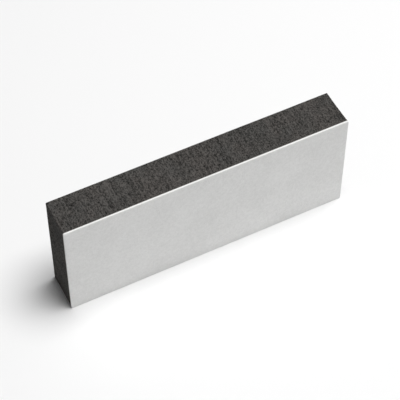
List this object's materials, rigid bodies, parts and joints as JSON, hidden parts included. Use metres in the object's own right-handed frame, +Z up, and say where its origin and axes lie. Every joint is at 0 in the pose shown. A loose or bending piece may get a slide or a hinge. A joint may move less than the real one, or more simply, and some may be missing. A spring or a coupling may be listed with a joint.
{
  "type": "chalkboard eraser",
  "caption": "Rectangular board eraser: a dark foam grip block with a thin white wiping cloth bonded to a wide face, standing on its long edge.",
  "frame": {"origin": "middle of the footprint of the eraser standing on its long narrow edge", "axes": "+X along the length, -Y out of the white wiping face, +Y out of the bare foam back, +Z up"},
  "size_m": [0.15, 0.021, 0.06],
  "materials": {
    "foam": "matte closed-cell foam, charcoal grey, with a fine cut grain on its edges",
    "adhesive": "thin translucent adhesive film",
    "cloth": "short-napped white wiping cloth"
  },
  "bodies": {
    "root": {"foam_block": "foam", "adhesive_film": "adhesive", "wiping_cloth": "cloth"}
  },
  "joints": []
}
